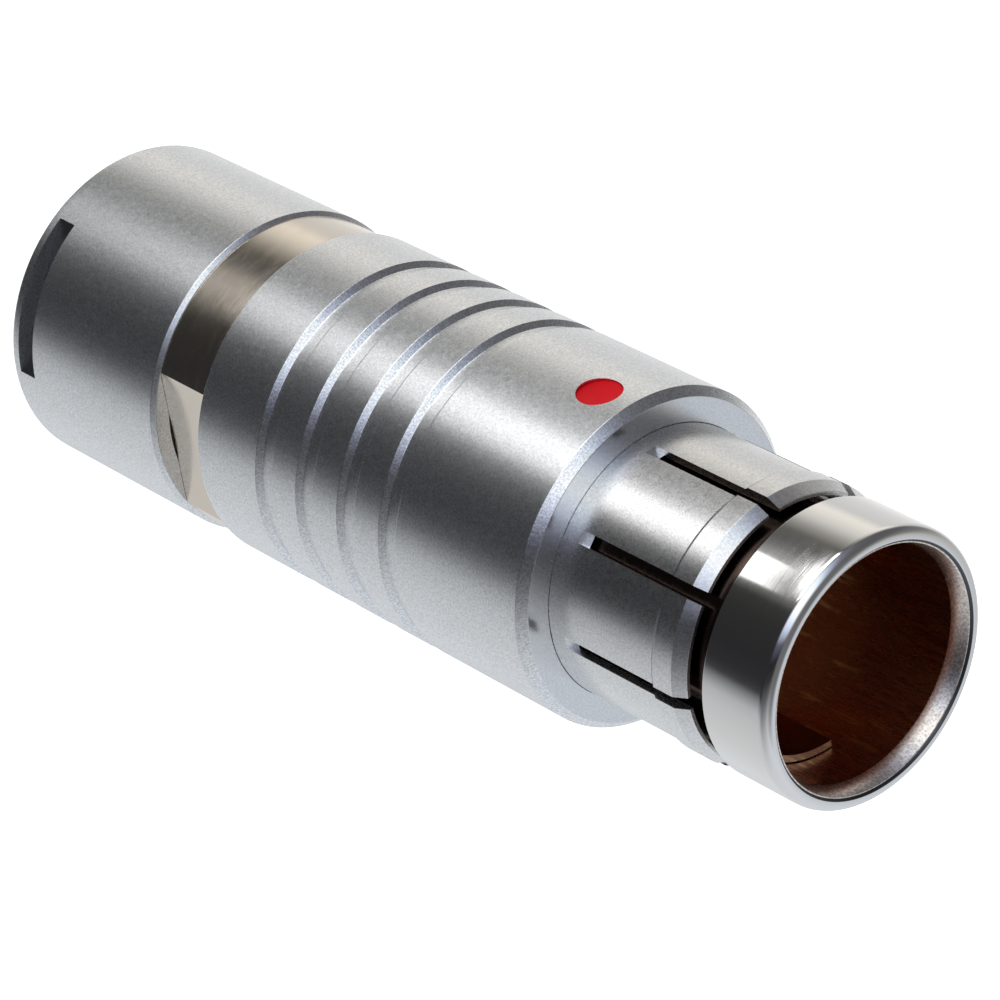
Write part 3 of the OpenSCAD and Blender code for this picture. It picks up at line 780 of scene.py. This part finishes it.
upper = [(-180, (0.62, 0.66, 0.72)), (-150, 0.5), (-130, 0.22), (-112, (0.12, 0.12, 0.13)),
         (-95, (0.11, 0.11, 0.12)), (-75, (0.13, 0.13, 0.14)), (-62, (0.2, 0.21, 0.27)),
         (-50, (0.5, 0.56, 0.72)), (-38, (1.05, 1.15, 1.25)), (-20, 1.4), (-8, (1.1, 1.2, 1.35)),
         (2, (0.7, 0.78, 1.0)), (14, (0.11, 0.11, 0.16)), (28, (0.02, 0.02, 0.025)), (42, 0.04),
         (56, (0.13, 0.13, 0.14)), (70, (0.3, 0.31, 0.34)), (80, (0.45, 0.46, 0.48)),
         (96, (0.6, 0.63, 0.66)), (112, (0.69, 0.73, 0.78)), (144, (0.73, 0.76, 0.82)),
         (160, (0.7, 0.74, 0.79)), (180, (0.62, 0.66, 0.72))]
studio = {"strength": 1.4, "blendLow": -0.35, "blendHigh": 0.05}
zenith = {"from": 0.72, "to": 0.96, "light": (0.16, 0.16, 0.17)}
# near softboxes that the front of the connector mirrors most: where they stand from the point they face
softboxes = [
    {"name": "stripeSoftbox", "bearing": -29, "drop": 42, "away": 0.25, "width": 0.078, "height": 0.06,
     "level": 1.1, "facing": 0.078},
    {"name": "sideSoftbox", "bearing": -42, "drop": 20, "away": 0.6, "width": 0.45, "height": 0.2,
     "level": 2.2, "facing": 0.035}]


def toned(light):
    # a level or a colour as the (r, g, b) that the background's strength multiplies
    levels = light if isinstance(light, tuple) else (light,) * 3
    return tuple(level / studio["strength"] for level in levels)


def bearingRamp(tree, share, levels, place):
    ramp = addNode(tree, "ShaderNodeValToRGB", place)
    elements = ramp.color_ramp.elements
    # a new ramp has its two ends already
    for degree, _ in levels[1:-1]:
        elements.new((degree + 180) / 360)
    for element, (_, light) in zip(elements, levels):
        element.color = (*toned(light), 1)
    tree.links.new(share, ramp.inputs["Fac"])
    return ramp.outputs["Color"]


def makeWorld():
    world = bpy.data.worlds.new("studio")
    bpy.context.scene.world = world
    world.use_nodes = True
    tree = world.node_tree
    tree.nodes.clear()
    link = tree.links.new
    coords = addNode(tree, "ShaderNodeTexCoord", (-1200, 0))
    split = addNode(tree, "ShaderNodeSeparateXYZ", (-1000, 0))
    bearing = addNode(tree, "ShaderNodeMath", (-800, 100), operation="ARCTAN2")
    shift = addNode(tree, "ShaderNodeMath", (-650, 100), operation="ADD")
    shift.inputs[1].default_value = -atan2(view["place"][1], view["place"][0])
    wrap = addNode(tree, "ShaderNodeMath", (-500, 100), operation="WRAP")
    wrap.inputs[1].default_value = pi
    wrap.inputs[2].default_value = -pi
    share = addNode(tree, "ShaderNodeMapRange", (-350, 100))
    share.inputs["From Min"].default_value = -pi
    share.inputs["From Max"].default_value = pi
    height = addNode(tree, "ShaderNodeMapRange", (-350, -200), interpolation_type="SMOOTHSTEP")
    height.inputs["From Min"].default_value = studio["blendLow"]
    height.inputs["From Max"].default_value = studio["blendHigh"]
    high = addNode(tree, "ShaderNodeMapRange", (-350, -400), interpolation_type="SMOOTHSTEP")
    high.inputs["From Min"].default_value = zenith["from"]
    high.inputs["From Max"].default_value = zenith["to"]
    background = addNode(tree, "ShaderNodeBackground", (600, 0))
    background.inputs["Strength"].default_value = studio["strength"]
    out = addNode(tree, "ShaderNodeOutputWorld", (800, 0))
    link(coords.outputs["Generated"], split.inputs[0])
    link(split.outputs["Y"], bearing.inputs[0])
    link(split.outputs["X"], bearing.inputs[1])
    link(bearing.outputs[0], shift.inputs[0])
    link(shift.outputs[0], wrap.inputs[0])
    link(wrap.outputs[0], share.inputs["Value"])
    link(split.outputs["Z"], height.inputs["Value"])
    link(split.outputs["Z"], high.inputs["Value"])
    sides = mixedColour(tree, height.outputs["Result"],
                        bearingRamp(tree, share.outputs["Result"], lower, (-150, 100)),
                        bearingRamp(tree, share.outputs["Result"], upper, (-150, -200)), (200, 0))
    whole = mixedColour(tree, high.outputs["Result"], sides, toned(zenith["light"]), (400, 0))
    link(whole, background.inputs["Color"])
    link(background.outputs[0], out.inputs["Surface"])


def makeSoftbox(box):
    data = bpy.data.lights.new(box["name"], "AREA")
    data.shape = "RECTANGLE"
    data.size = box["width"]
    data.size_y = box["height"]
    data.energy = 4 * box["width"] * box["height"] * box["level"]
    light = bpy.data.objects.new(box["name"], data)
    bpy.context.scene.collection.objects.link(light)
    turn = atan2(view["place"][1], view["place"][0]) + radians(box["bearing"])
    drop = radians(box["drop"])
    away = Vector((cos(drop) * cos(turn), cos(drop) * sin(turn), -sin(drop)))
    light.location = Vector((0, 0, box["facing"])) + away * box["away"]
    light.rotation_euler = away.to_track_quat("Z", "Y").to_euler()


def makeFloor():
    mesh = bpy.data.meshes.new("floor")
    mesh.from_pydata([(-3, -3, 0), (3, -3, 0), (3, 3, 0), (-3, 3, 0)], [], [(0, 1, 2, 3)])
    floor = bpy.data.objects.new("floor", mesh)
    bpy.context.scene.collection.objects.link(floor)
    material = bpy.data.materials.new("paleFloor")
    material.use_nodes = True
    shader = material.node_tree.nodes["Principled BSDF"]
    shader.inputs["Base Color"].default_value = (0.9, 0.9, 0.9, 1)
    shader.inputs["Roughness"].default_value = 0.9
    shader.inputs["Emission Color"].default_value = (1, 1, 1, 1)
    shader.inputs["Emission Strength"].default_value = 1.0
    floor.data.materials.append(material)
    floor.visible_glossy = False
    floor.visible_shadow = False


makeCamera()
makeWorld()
for box in softboxes:
    makeSoftbox(box)
makeFloor()
print("stage ready")
